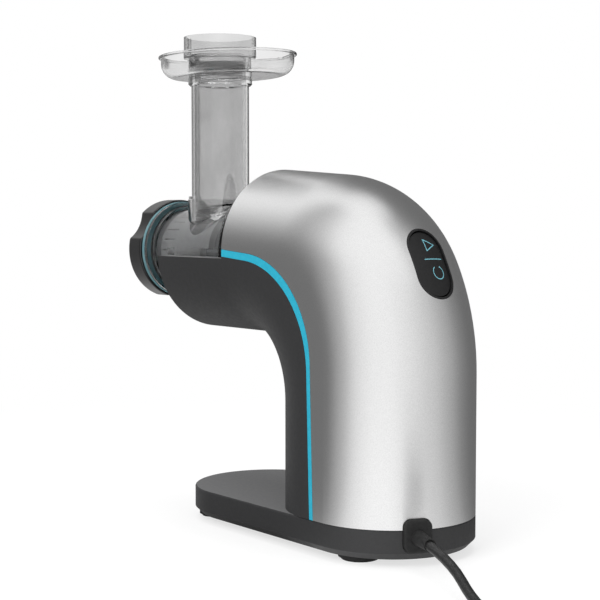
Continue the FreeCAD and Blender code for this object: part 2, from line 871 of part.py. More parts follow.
def gear_outline(teeth, module, turn, x, z):
    """Involute teeth as a closed wire in the XZ plane, thinned by half the backlash."""
    pitch = teeth * module / 2
    base = pitch * math.cos(math.radians(pressure_angle))
    tip = pitch + module
    root = pitch - 1.25 * module
    involute = math.tan(math.radians(pressure_angle)) - math.radians(pressure_angle)
    half = math.pi / (2 * teeth) - backlash / (2 * pitch)

    def flank(radius):
        if radius <= base:
            return half + involute
        roll = math.acos(base / radius)
        return half + involute - (math.tan(roll) - roll)

    def point(radius, angle):
        return V(x + radius * math.cos(angle), 0, z + radius * math.sin(angle))

    low = max(root, base)
    radii = [low + (tip - low) * i / 4.0 for i in range(5)]
    edges = []
    step = 2 * math.pi / teeth
    for i in range(teeth):
        middle = turn + i * step
        rise = [point(r, middle - flank(r)) for r in radii]
        fall = [point(r, middle + flank(r)) for r in reversed(radii)]
        foot = flank(low)
        if low > root + 0.01:
            rise = [point(root, middle - foot)] + rise
            fall = fall + [point(root, middle + foot)]
        edges += [line(a, b) for a, b in zip(rise, rise[1:])]
        edges.append(Part.Arc(rise[-1], point(tip, middle), fall[0]).toShape())
        edges += [line(a, b) for a, b in zip(fall, fall[1:])]
        following = middle + step
        edges.append(Part.Arc(fall[-1], point(root, middle + step / 2),
                              point(root, following - foot)).toShape())
    return Part.Wire(edges)


def gear(teeth, module, turn, y0, y1, z):
    face = Part.Face(gear_outline(teeth, module, math.radians(turn), 0, z))
    face.translate(V(0, y0, 0))
    return face.extrude(V(0, y1 - y0, 0))


middle_z = drum_axis_z - centre_distance
motor_z = middle_z - centre_distance
slow_y = gearbox_front_y + gearbox_wall + gearbox_gap
fast_y = slow_y + gear_width + gearbox_gap
gearbox_end_y = gearbox_front_y + gearbox_depth
motor_y = gearbox_end_y + touch + 3.0


def gap_turn(teeth):
    """The turn that puts a gap between teeth straight up."""
    return 90.0 + 180.0 / teeth


def make_output_shaft():
    shaft = disc(output_radius, drum_end_y + 0.2, slow_y + gear_width + 1.0)
    spindle = hexagon(hex_flat, drum_end_y - hex_length + 0.5, drum_end_y + 1.0)
    return join([shaft, spindle])


def make_output_gear():
    wheel = gear(slow_gear_teeth, slow_module, -90.0, slow_y, slow_y + gear_width, drum_axis_z)
    wheel = join([wheel, disc(output_radius + 4, slow_y - 1.5, slow_y + gear_width)])
    return wheel.cut(disc(output_radius, slow_y - 5, slow_y + 20))


def make_reduction_gear():
    small = gear(slow_pinion_teeth, slow_module, gap_turn(slow_pinion_teeth),
                 slow_y - 0.5, fast_y + 1.0, middle_z)
    large = gear(fast_gear_teeth, fast_module, -90.0, fast_y, fast_y + gear_width, middle_z)
    cluster = join([small, large])
    return cluster.cut(disc(axle_radius + running, slow_y - 5, fast_y + 30, middle_z))


def gearbox_outline(y0, y1, grow):
    """The hull of the three shaft places, grown by a wall."""
    upper_half = gearbox_top_radius + grow
    lower_half = gearbox_low_radius + grow
    top = disc(upper_half, y0, y1, drum_axis_z)
    mid = disc(gearbox_middle_radius + grow, y0, y1, middle_z)
    low = disc(lower_half, y0, y1, motor_z)
    upper = block(-upper_half, upper_half, y0, y1, middle_z, drum_axis_z)
    lower = block(-lower_half, lower_half, y0, y1, motor_z, middle_z)
    return join([top, mid, low, upper, lower])


def make_gearbox_housing():
    y0 = gearbox_front_y
    box = gearbox_outline(y0, gearbox_end_y - gearbox_wall, gearbox_wall)
    box = box.cut(gearbox_outline(y0 + gearbox_wall, gearbox_end_y, 0))
    boss = disc(output_radius + bush_wall + 3.0, y0 - 6.0, y0 + gearbox_wall)
    legs = []
    for angle in post_angles:
        a = math.radians(angle)
        x = post_circle * math.cos(a)
        z = drum_axis_z + post_circle * math.sin(a)
        leg = disc(post_radius, bulkhead_y + bulkhead_thickness, y0 + 4.0, z, x)
        arm = disc(post_radius, y0, y0 + gearbox_wall, z, x * 0.6)
        web = block(min(x, 0.55 * x), max(x, 0.55 * x), y0, y0 + gearbox_wall,
                    z - post_radius, z + post_radius)
        legs += [leg, arm, web]
    box = join([box, boss] + legs)
    box = box.cut(disc(output_radius + bush_wall, y0 - 10, y0 + 10))
    for angle in post_angles:
        a = math.radians(angle)
        x = post_circle * math.cos(a)
        z = drum_axis_z + post_circle * math.sin(a)
        box = box.cut(disc(screw_radius, bulkhead_y, y0 - 4.0, z, x))
    return box.cut(disc(axle_radius, y0 - 1, y0 + 10, middle_z))


def make_gearbox_cover():
    y0 = gearbox_end_y - gearbox_wall
    cover = gearbox_outline(y0, gearbox_end_y, gearbox_wall)
    pad = disc(motor_radius - 6.0, y0, gearbox_end_y, motor_z)
    cover = join([cover, pad])
    cover = cover.cut(disc(11.0, y0 - 1, gearbox_end_y + 1, motor_z))
    return cover.cut(disc(axle_radius, y0 - 1, gearbox_end_y + 1, middle_z))


def make_bushes():
    front = ring(output_radius + bush_wall, output_radius + running,
                 gearbox_front_y - 6.0, gearbox_front_y + gearbox_wall)
    hub_end = bulkhead_y + bulkhead_thickness + 8.0
    rear = ring(output_radius + bush_wall, output_radius + running, bulkhead_y + 4.2, hub_end)
    return Part.makeCompound([front, rear])


def make_axle():
    return disc(axle_radius - 0.01, gearbox_front_y, gearbox_end_y, middle_z)


def make_gearbox_screws():
    screws = []
    for angle in post_angles:
        a = math.radians(angle)
        x = post_circle * math.cos(a)
        z = drum_axis_z + post_circle * math.sin(a)
        head = disc(screw_head_radius, bulkhead_y - 0.1, bulkhead_y + 0.0, z, x)
        shank = disc(screw_radius - 0.05, bulkhead_y, gearbox_front_y - 6.0, z, x)
        screws.append(join([head, shank]))
    return Part.makeCompound(screws)


def make_motor_can():
    y0 = motor_y
    y1 = y0 + motor_length
    can = ring(motor_radius, motor_radius - motor_can_wall, y0, y1, motor_z)
    front = disc(motor_radius, y0 - 3.0, y0 + 0.5, motor_z)
    can = join([can, front, disc(10.6, y0 - 5.0, y0 + 4.0, motor_z)])
    can = can.cut(disc(motor_shaft_radius + 3.0, y0 - 10, y0 + 10, motor_z))
    windows = []
    for i in range(6):
        window = block(12.0, 60.0, y0 + 4.0, y0 + 13.0, -7.0, 7.0)
        window.rotate(V(0, 0, 0), DEPTH, 30.0 + 60.0 * i)
        window.translate(V(0, 0, motor_z))
        windows.append(window)
    return can.cut(windows)


def make_motor_end():
    y1 = motor_y + motor_length
    plate = disc(motor_radius, y1 + 0.05, y1 + 3.0, motor_z)
    spigot = ring(motor_radius - motor_can_wall - 0.1, motor_radius - motor_can_wall - 3.0,
                  y1 - 4.0, y1 + 1.0, motor_z)
    boss = disc(9.0, y1 - 4.0, y1 + 6.0, motor_z)
    plate = join([plate, spigot, boss])
    plate = plate.cut(disc(motor_shaft_radius + 3.0, y1 - 10, y1 + 10, motor_z))
    holes = [disc(6.0, y1 - 1, y1 + 5, motor_z + 22.0 * math.sin(math.radians(60.0 * i)),
                  22.0 * math.cos(math.radians(60.0 * i))) for i in range(6)]
    return plate.cut(holes)


def make_motor_bushes():
    y1 = motor_y + motor_length
    bore = motor_shaft_radius + running
    front = ring(motor_shaft_radius + 3.0, bore, motor_y - 5.0, motor_y + 4.0, motor_z)
    rear = ring(motor_shaft_radius + 3.0, bore, y1 - 4.0, y1 + 6.0, motor_z)
    return Part.makeCompound([front, rear])


def stack_y():
    return motor_y + 18.0


def stator_radius():
    return motor_radius - motor_can_wall - 0.15


def field_block(side, y0, y1, shrink):
    """The room of a field coil in the stator, on one side, drawn in by shrink."""
    near = side * (armature_radius + air_gap + field_bridge + shrink)
    far = side * (stator_radius() - field_yoke - shrink)
    half = field_half_height - shrink
    return block(min(near, far), max(near, far), y0, y1, motor_z - half, motor_z + half)


def make_stator():
    y0 = stack_y()
    y1 = y0 + stator_length
    core = ring(stator_radius(), armature_radius + air_gap, y0, y1, motor_z)
    return core.cut([field_block(side, y0 - 1, y1 + 1, 0.0) for side in (-1, 1)])


def make_field_coils():
    """Two wound coils that fill the stator's windows and loop round its ends."""
    y0 = stack_y() - 4.0
    y1 = stack_y() + stator_length + 4.0
    coils = [field_block(side, y0, y1, touch) for side in (-1, 1)]
    return Part.makeCompound([coil.makeFillet(1.8, coil.Edges) for coil in coils])


def make_rotor():
    y1 = motor_y + motor_length
    shaft = disc(motor_shaft_radius, fast_y - 0.5, y1 + 6.0, motor_z)
    start = stack_y() + (stator_length - armature_length) / 2
    stack = disc(armature_radius, start, start + armature_length, motor_z)
    for i in range(12):
        slot = block(armature_radius - 5.0, armature_radius + 1.0, start - 1,
                     start + armature_length + 1, -1.0, 1.0)
        slot.rotate(V(0, 0, 0), DEPTH, 30.0 * i)
        slot.translate(V(0, 0, motor_z))
        stack = stack.cut(slot)
    ends = [disc(armature_radius - 4.0, start - 4.0, start + 0.5, motor_z),
            disc(armature_radius - 4.0, start + armature_length - 0.5,
                 start + armature_length + 4.0, motor_z)]
    return join([shaft, stack] + ends)


def make_commutator():
    end = motor_y + motor_length - 5.0
    return ring(commutator_radius, motor_shaft_radius, end - commutator_length, end, motor_z)


def make_motor_pinion():
    wheel = gear(fast_pinion_teeth, fast_module, gap_turn(fast_pinion_teeth),
                 fast_y - 0.3, fast_y + gear_width, motor_z)
    return wheel.cut(disc(motor_shaft_radius, fast_y - 5, fast_y + 20, motor_z))


def make_fan():
    y0 = motor_y + 5.0
    hub = ring(9.0, motor_shaft_radius, y0, y0 + fan_length, motor_z)
    plate = ring(fan_radius - 2.0, 8.0, y0 + fan_length - 1.5, y0 + fan_length, motor_z)
    blades = []
    for i in range(fan_blades):
        blade = block(8.0, fan_radius, y0, y0 + fan_length - 1.0, -0.8, 0.8)
        blade.rotate(V(0, 0, 0), DEPTH, i * 360.0 / fan_blades)
        blade.translate(V(0, 0, motor_z))
        blades.append(blade)
    return join([hub, plate] + blades)


def make_stand():
    """A box-section stand that carries the motor on a rubber pad."""
    y0 = rear_centre_y - stand_length + 4.0
    y1 = y0 + stand_length
    top = motor_z
    half = stand_width / 2
    stand = block(-half, half, y0, y1, base_top_z, top)
    stand = stand.cut(block(-half + stand_wall, half - stand_wall, y0 - 1, y1 + 1,
                            base_top_z + stand_wall, motor_z - motor_radius - 12.0))
    return stand.cut(disc(motor_radius + pad_thickness, y0 - 1, y1 + 1, motor_z))


def make_pad():
    y0 = rear_centre_y - stand_length + 4.0
    y1 = y0 + stand_length
    half = stand_width / 2
    band = ring(motor_radius + pad_thickness - 0.05, motor_radius + 0.05, y0, y1, motor_z)
    return band.common(block(-half, half, y0, y1, 0, motor_z - 20.0))


def make_bezel():
    """The oval well that the key sits in, with a floor and two pin ears."""
    out_w = key_width + 2 * bezel_wall
    out_l = key_length + 2 * bezel_wall
    well = oval(out_w, out_l, -bezel_depth - 1.5, 20.0)
    well = well.cut(oval(key_width, key_length, -bezel_depth, 30.0))
    ears = []
    for side in (-1, 1):
        x0 = side * (key_width / 2 + 0.5)
        x1 = side * (key_width / 2 - 2.6)
        ears.append(block(min(x0, x1), max(x0, x1), -3.0, 3.0, -bezel_depth - 0.5,
                          -key_recess - key_thickness - 0.6))
    well = join([well] + ears)
    pin = Part.makeCylinder(pin_radius, 2 * key_width, V(-key_width, 0, -pin_depth), ACROSS)
    return key_frame(well.cut(pin)).common(body_outer)


def make_pin():
    half = key_width / 2 - 0.1
    pin = Part.makeCylinder(pin_radius - 0.05, 2 * half, V(-half, 0, -pin_depth), ACROSS)
    return key_frame(pin)


def make_key():
    """A rocker with a slightly crowned face that follows the shell."""
    w = key_width - 2 * key_gap
    length = key_length - 2 * (key_gap + key_end_gap)
    cap = oval(w, length, -key_recess - key_thickness, 10.0)
    cap = key_frame(cap)
    sunk = body_blank(key_recess, base_top_z)
    cap = cap.common(sunk)
    low = -pin_depth - pin_radius - 0.9
    arm = block(-key_width / 2 + 3.2, key_width / 2 - 3.2, -3.4, 3.4, low,
                -key_recess - key_thickness + 1.0)
    arm = arm.makeFillet(1.5, [e for e in arm.Edges if e.BoundBox.ZMax < low + 0.1
                               and e.BoundBox.XLength > 5])
    arm = key_frame(arm)
    key = join([cap, arm])
    bore = Part.makeCylinder(pin_radius + 0.03, 2 * key_width, V(-key_width, 0, -pin_depth),
                             ACROSS)
    return key.cut(key_frame(bore))


def make_switch_body():
    top = -bezel_depth - 1.6
    body = block(-9.0, 9.0, -switch_half, switch_half, top - switch_depth, top)
    tabs = [block(-5.0, -4.2, y - 2.4, y + 2.4, top - switch_depth - 3.6,
                  top - switch_depth + 0.5) for y in (-7.0, 0.0, 7.0)]
    return key_frame(join([body] + tabs))


def make_board():
    y = rear_centre_y + 43.0
    board = block(-30.0, 30.0, y, y + 1.6, base_top_z + 0.1, base_top_z + 62.0)
    parts = [block(-22.0, -6.0, y - 12.0, y + 0.5, base_top_z + 10.0, base_top_z + 34.0),
             block(4.0, 24.0, y - 9.0, y + 0.5, base_top_z + 36.0, base_top_z + 52.0)]
    cap_can = Part.makeCylinder(7.0, 16.0, V(12.0, y - 15.5, base_top_z + 20.0), DEPTH)
    return join([board, cap_can] + parts)


def gland_place(shape):
    """Turns a shape drawn at the rear of the column to the gland's angle."""
    shape = shape.copy()
    shape.rotate(V(0, rear_centre_y, 0), UP, -gland_angle)
    return shape


def gland_block(grow, depth):
    """The rounded block of the cord gland, grown by a clearance."""
    half = gland_width / 2 + grow
    y1 = rear_y + gland_proud
    body = block(-half, half, y1 - gland_depth - depth, y1, gland_low_z - grow,
                 gland_top_z + grow)
    body = body.makeFillet(gland_round, upright_edges(body))
    return gland_place(body) if depth else body


def upright_edges(shape):
    """The long edges of a block that run along the depth."""
    return [e for e in shape.Edges if e.BoundBox.YLength > 3.0
            and e.BoundBox.XLength < 1e-4 and e.BoundBox.ZLength < 1e-4]


def make_gland():
    body = gland_block(0.0, 0)
    y1 = rear_y + gland_proud
    face = [e for e in body.Edges if e.BoundBox.YMin > y1 - 1e-3]
    body = body.makeFillet(1.5, face)
    relief = Part.makeCone(relief_radius, cord_diameter / 2 + relief_tip_wall, relief_length,
                           V(0, y1 - 1.0, exit_z), DEPTH)
    body = join([body, relief])
    bore = Part.makeCylinder(cord_diameter / 2 + 0.05, 60.0, V(0, y1 - 2.0, exit_z), DEPTH)
    return gland_place(body.cut(bore))


def rounded_route(points):
    """Straight runs joined by tangent arcs, each as large as its two runs allow."""
    edges = []
    radii = []
    length = 0.0
    at = points[0]
    for before, corner, after in zip(points, points[1:], points[2:]):
        a = corner - before
        b = after - corner
        turn = a.getAngle(b)
        reach = run_share * min(a.Length, b.Length)
        radius = reach / math.tan(turn / 2)
        a.normalize()
        b.normalize()
        start = corner - a * reach
        end = corner + b * reach
        bisector = b - a
        bisector.normalize()
        middle = corner + bisector * (radius / math.cos(turn / 2) - radius)
        edges += [line(at, start), Part.Arc(start, middle, end).toShape()]
        radii.append(radius)
        length += (start - at).Length + radius * turn
        at = end
    edges.append(line(at, points[-1]))
    return edges, radii, length + (points[-1] - at).Length


def cord_along(edges, start, direction):
    """A round cord swept along a path."""
    section = Part.Wire(Part.makeCircle(cord_diameter / 2, start, direction))
    return Part.Wire(edges).makePipeShell([section], True, False)


def make_cord():
    edges, radii, length = rounded_route(cord_route)
    cord = cord_along(edges, cord_route[0], cord_route[1] - cord_route[0])
    print("cord radii", [round(r) for r in radii], "length", round(length),
          "volume share", round(cord.Volume / (math.pi * cord_diameter ** 2 / 4 * length), 4))
    return cord


def coil_frame():
    """Where the coil starts, the way the lead is heading there, and its left-hand side."""
    ahead = cord_route[-1] - cord_route[-2]
    ahead.z = 0
    ahead.normalize()
    return cord_route[-1], ahead, V(-ahead.y, ahead.x, 0)


def coil_radii():
    """Radius at each half turn: in on the lower layer, out on the upper one."""
    half = coil_pitch / 2
    radii = [coil_radius - i * half for i in range(coil_turns_in + 1)]
    inner = radii[-1] - coil_tuck
    return radii + [inner] + [radii[-1] + i * half for i in range(1, coil_turns_out + 1)]


def coil_path():
    """The coil's edges, its end, the way it heads there and its length."""
    start, ahead, side = coil_frame()
    at = start + ahead * cord_diameter
    edges = [line(start, at)]
    length = cord_diameter
    radii = coil_radii()
    for i, (r0, r1) in enumerate(zip(radii, radii[1:])):
        climb = coil_pitch if i == coil_turns_in else 0.0
        way = side if i % 2 == 0 else side * -1
        forward = ahead if i % 2 == 0 else ahead * -1
        end = at + way * (r0 + r1) + V(0, 0, climb)
        middle = (at + end) * 0.5
        reach = (end - at).Length / 2
        across = (end - at).normalize()
        top = middle + forward * reach
        eighth = math.sqrt(0.5)
        edges.append(Part.Arc(at, middle + (forward - across) * reach * eighth, top).toShape())
        edges.append(Part.Arc(top, middle + (forward + across) * reach * eighth, end).toShape())
        length += math.pi * reach
        at = end
    end = at + ahead * coil_lead_out
    edges.append(line(at, end))
    return edges, end, ahead, length + coil_lead_out


def coil_gap(edges):
    """The least gap between two stretches of the coil that are not neighbours."""
    points = []
    run = 0.0
    for edge in edges:
        count = 12
        for i in range(count):
            share = (i + 0.5) / count
            at = edge.valueAt(edge.FirstParameter
                              + share * (edge.LastParameter - edge.FirstParameter))
            points.append((run + share * edge.Length, at))
        run += edge.Length
    apart = 6 * cord_diameter
    return min((p - q).Length for s, p in points for t, q in points if t - s > apart) \
        - cord_diameter


def make_coil():
    edges, end, ahead, length = coil_path()
    start = coil_frame()[0]
    coil = cord_along(edges, start, ahead)
    print("coil length", round(length), "least gap", round(coil_gap(edges), 2),
          "volume share", round(coil.Volume / (math.pi * cord_diameter ** 2 / 4 * length), 4))
    return coil


def beside_lead(shape, at, ahead):
    """Places a shape drawn along +Y from the origin at a point of the lead."""
    shape = shape.copy()
    shape.rotate(V(0, 0, 0), UP, -math.degrees(math.atan2(ahead.x, ahead.y)))
    shape.translate(at)
    return shape


def make_tie():
    """A flat strap round the whole bundle, on the side that faces the machine."""
    start, ahead, side = coil_frame()
    half = cord_diameter / 2
    radii = coil_radii()
    inner = (radii[coil_turns_in] + radii[coil_turns_in + 1]) / 2 - half - tie_slack
    outer = coil_radius - coil_pitch / 2 + half - coil_pitch / 4 + tie_slack
    low = cord_lift - (cord_lift - tie_wall) / 2
    high = floor_z + coil_pitch + half + (cord_lift - tie_wall) / 2
    band = block(-tie_width / 2, tie_width / 2, -outer - tie_wall, -inner + tie_wall,
                 0.0, high + tie_wall)
    band = band.cut(block(-tie_width, tie_width, -outer, -inner, low, high))
    centre = start + ahead * cord_diameter + side * coil_radius
    return beside_lead(band, V(centre.x, centre.y, 0), ahead)


def plug_axis_height():
    return floor_z + coil_pitch


def make_plug():
    edges, end, ahead, length = coil_path()
    half = plug_axis_height() - 0.3
    body = block(-plug_width / 2, plug_width / 2, plug_neck - 2, plug_neck + plug_length,
                 -half, half)
    body = body.makeFillet(plug_round, upright_edges(body))
    rims = [e for e in body.Edges if e.BoundBox.YLength < 1e-3]
    body = body.makeFillet(2.5, rims)
    neck = Part.makeCone(cord_diameter / 2 + relief_tip_wall, plug_round + 2.0, plug_neck,
                         V(0, 0, 0), DEPTH)
    return beside_lead(join([body, neck]), end, ahead)


def make_blades():
    edges, end, ahead, length = coil_path()
    y0 = plug_neck + plug_length
    blades = []
    for side in (-1, 1):
        blade = Part.makeCylinder(blade_radius, blade_length,
                                  V(side * blade_spacing / 2, y0, 0), DEPTH)
        tip = [e for e in blade.Edges if e.BoundBox.YMin > y0 + blade_length - 1e-3]
        blades.append(blade.makeFillet(1.0, tip))
    return beside_lead(Part.makeCompound(blades), end, ahead)


def parts_list():
    parts = {
        "base_housing": make_base(),
        "base_cover": make_cover(),
        "base_screws": make_base_screws(),
        "rear_shell": make_rear_shell(),
        "front_shell": make_front_shell(),
        "front_bulkhead": make_bulkhead(),
        "output_seal": make_output_seal(),
        "output_bushes": make_bushes(),
        "gearbox_housing": make_gearbox_housing(),
        "gearbox_cover": make_gearbox_cover(),
        "gearbox_screws": make_gearbox_screws(),
        "reduction_axle": make_axle(),
        "motor_can": make_motor_can(),
        "motor_end_plate": make_motor_end(),
        "motor_bushes": make_motor_bushes(),
        "motor_stator": make_stator(),
        "field_coils": make_field_coils(),
        "motor_stand": make_stand(),
        "motor_pad": make_pad(),
        "key_bezel": make_bezel(),
        "key_pin": make_pin(),
        "switch_body": make_switch_body(),
        "control_board": make_board(),
        "cord_gland": make_gland(),
        "rocker_key": make_key(),
        "motor_rotor": make_rotor(),
        "commutator": make_commutator(),
        "motor_pinion": make_motor_pinion(),
        "cooling_fan": make_fan(),
        "reduction_gear": make_reduction_gear(),
        "output_gear": make_output_gear(),
        "output_shaft": make_output_shaft(),
        "drum": make_drum(),
        "drum_lock_ring": make_lock_ring(),
        "spout_sleeve": make_spout_sleeve(),
        "strainer": make_strainer(),
        "auger": make_auger(),
        "front_cap": make_cap(),
        "cap_gasket": make_gasket(),
        "feed_chute": make_chute(),
        "hopper_tray": make_hopper(),
        "pusher": make_pusher(),
        "mains_cord": make_cord(),
        "cord_coil": make_coil(),
        "coil_tie": make_tie(),
        "mains_plug": make_plug(),
        "plug_blades": make_blades(),
    }
    parts.update(make_strips())
    for side, name in ((-1, "left"), (1, "right")):
        parts["foot_front_" + name] = make_foot(foot_front_radius, side * foot_front_x,
                                                foot_front_y)
        parts["foot_rear_" + name] = make_foot(foot_rear_radius, side * foot_rear_x,
                                               foot_rear_y)
    return parts


os.makedirs("parts", exist_ok=True)
for name, shape in parts_list().items():
    if not shape.isValid():
        print("not valid:", name)
    shape.exportStep("parts/" + name + ".step")
    print(name, len(shape.Solids), round(shape.Volume))
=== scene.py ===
"""The looks of a cold press juicer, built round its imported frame. Metres, +Z up, -Y is the front."""

import math

import bmesh
import bpy
from mathutils import Euler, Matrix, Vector


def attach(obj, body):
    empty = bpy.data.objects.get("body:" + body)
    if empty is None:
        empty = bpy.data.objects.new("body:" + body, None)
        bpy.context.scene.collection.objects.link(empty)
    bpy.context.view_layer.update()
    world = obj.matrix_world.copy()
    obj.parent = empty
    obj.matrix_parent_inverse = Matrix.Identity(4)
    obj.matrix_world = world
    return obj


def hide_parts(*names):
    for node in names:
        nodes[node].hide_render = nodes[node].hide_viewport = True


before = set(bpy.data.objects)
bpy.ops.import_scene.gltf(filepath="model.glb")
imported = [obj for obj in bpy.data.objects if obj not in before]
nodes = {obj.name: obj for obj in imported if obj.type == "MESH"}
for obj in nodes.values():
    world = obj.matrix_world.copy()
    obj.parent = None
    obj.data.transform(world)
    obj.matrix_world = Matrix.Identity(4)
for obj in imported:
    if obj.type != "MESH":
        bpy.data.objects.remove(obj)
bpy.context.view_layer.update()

# Camera of the photograph: place, turn in degrees, lens and sensor in millimetres
CAMERA_PLACE = (0.7174, 0.8871, 0.2531)
CAMERA_TURN = (86.374, 0.0, 140.77)
CAMERA_LENS = 84.82
CAMERA_SENSOR = 36.0
CAMERA_FAR = 30.0

# Lead: its route on the floor, then the stored coil, as in the part's source
CORD_DIAMETER = 0.007
EXIT_Z = 0.022
FLOOR_Z = 0.0042
CORD_ROUTE = [
    (0.02768, 0.17446, EXIT_Z),
    (0.05412, 0.23220, EXIT_Z),
    (0.0772, 0.2778, FLOOR_Z),
    (0.0945, 0.3230, FLOOR_Z),
    (0.1060, 0.3720, FLOOR_Z),
]
COIL_RADIUS = 0.048
COIL_PITCH = 0.0076
COIL_TURNS_IN = 5
COIL_TURNS_OUT = 4
COIL_TUCK = 0.003
COIL_LEAD_OUT = 0.032
COIL_STEPS = 8

# White stage: how bright it looks, how much light it gives, and where its soft shadow fades out
FLOOR_COLOUR = (0.8, 0.8, 0.8, 1)
FLOOR_GLOW = 0.70
FLOOR_SHADE = (0.34, 0.34, 0.34, 1)
FLOOR_HALF = 6
FLOOR_SHADOW_REACH = (0.35, 0.75)
WORLD_LIGHT = 0.55

# Soft lamps: name, place, aim, size and power
LAMPS = [
    ("key_lamp", (1.6, 0.4, 1.6), (0, 0, 0.2), (1.2, 1.2), 22),
    ("top_lamp", (0.0, 0.0, 2.2), (0, 0, 0), (1.6, 1.6), 18),
]

# Dark surround for reflections: its level, size and gap to the floor, then how open it is towards
# the white world. The lists give openness by azimuth from the camera and the rises by height, in degrees
FLAG_LEVEL = 0.15
FLAG_RADIUS = 0.66
FLAG_CENTRE = (0.0, 0.09, 0.2)
FLAG_FLOOR_GAP = 0.0004
CAMERA_AZIMUTH = math.atan2(CAMERA_PLACE[1], CAMERA_PLACE[0])
FLAG_OPEN = [
    (-180, 0.0), (-165, 0.1), (-145, 0.42), (-125, 0.25), (-106, 0.0), (-86, 0.0), (-62, 0.33),
    (-40, 0.85), (-20, 1.0), (0, 1.0), (20, 0.86), (50, 0.6), (75, 0.33), (98, 0.08), (118, 0.0),
    (180, 0.0),
]
FLAG_SIDE_OPEN = [
    (-180, 0.0), (-173, 0.1), (-160, 0.5), (-144, 0.85), (-120, 1.0), (-108, 0.7), (-92, 0.2),
    (-75, 0.5), (-50, 1.0), (40, 1.0), (58, 0.1), (80, 0.0), (165, 0.0), (180, 0.0),
]
FLAG_SIDE_RISE = (8, 40)
FLAG_TOP_RISE = (62, 89)

# Painted shade on the walls of the clear pieces that turn away to the photograph's right
WALL_TURNED = (-0.7747, 0.6324, 0.0)
WALL_SPAN = (0.9, 0.985)
WALL_PAINTED_SHADE = (0.03, 0.03, 0.03, 1)
# Painted light: the span over which upward-facing charcoal tops take a lighter base colour
TOP_PAINTED_LIGHT_SPAN = (0.9, 0.99)

# Icons printed on the key: its middle, tilt, and the strokes in the key's own plane
KEY_PLACE = Vector((0.0, 0.1558, 0.2141))
KEY_TILT = math.radians(24.3)
KEY_OUT = Vector((0, math.cos(KEY_TILT), math.sin(KEY_TILT)))
KEY_UP = Vector((0, -math.sin(KEY_TILT), math.cos(KEY_TILT)))
KEY_CLEAR = 0.02
ICON_STROKE = 0.0007
ICON_STEPS = 8
ICON_LIFT = 0.00005
ARROW_CORNERS = [(0.0003, 0.0191), (-0.0088, 0.0146), (0.0003, 0.0099)]
DIVIDER_ENDS = [(0.0055, 0.0031), (-0.0118, 0.0031)]
RING_CENTRE = (-0.0040, -0.0075)
RING_RADIUS = 0.0050
RING_ENDS = (120, 419)
RING_STEPS = 40


def srgb(red, green, blue):
    """A colour read from the photograph, 0 to 255 a channel, as a linear one."""
    def channel(value):
        value /= 255
        return value / 12.92 if value <= 0.04045 else ((value + 0.055) / 1.055) ** 2.4
    return channel(red), channel(green), channel(blue), 1.0


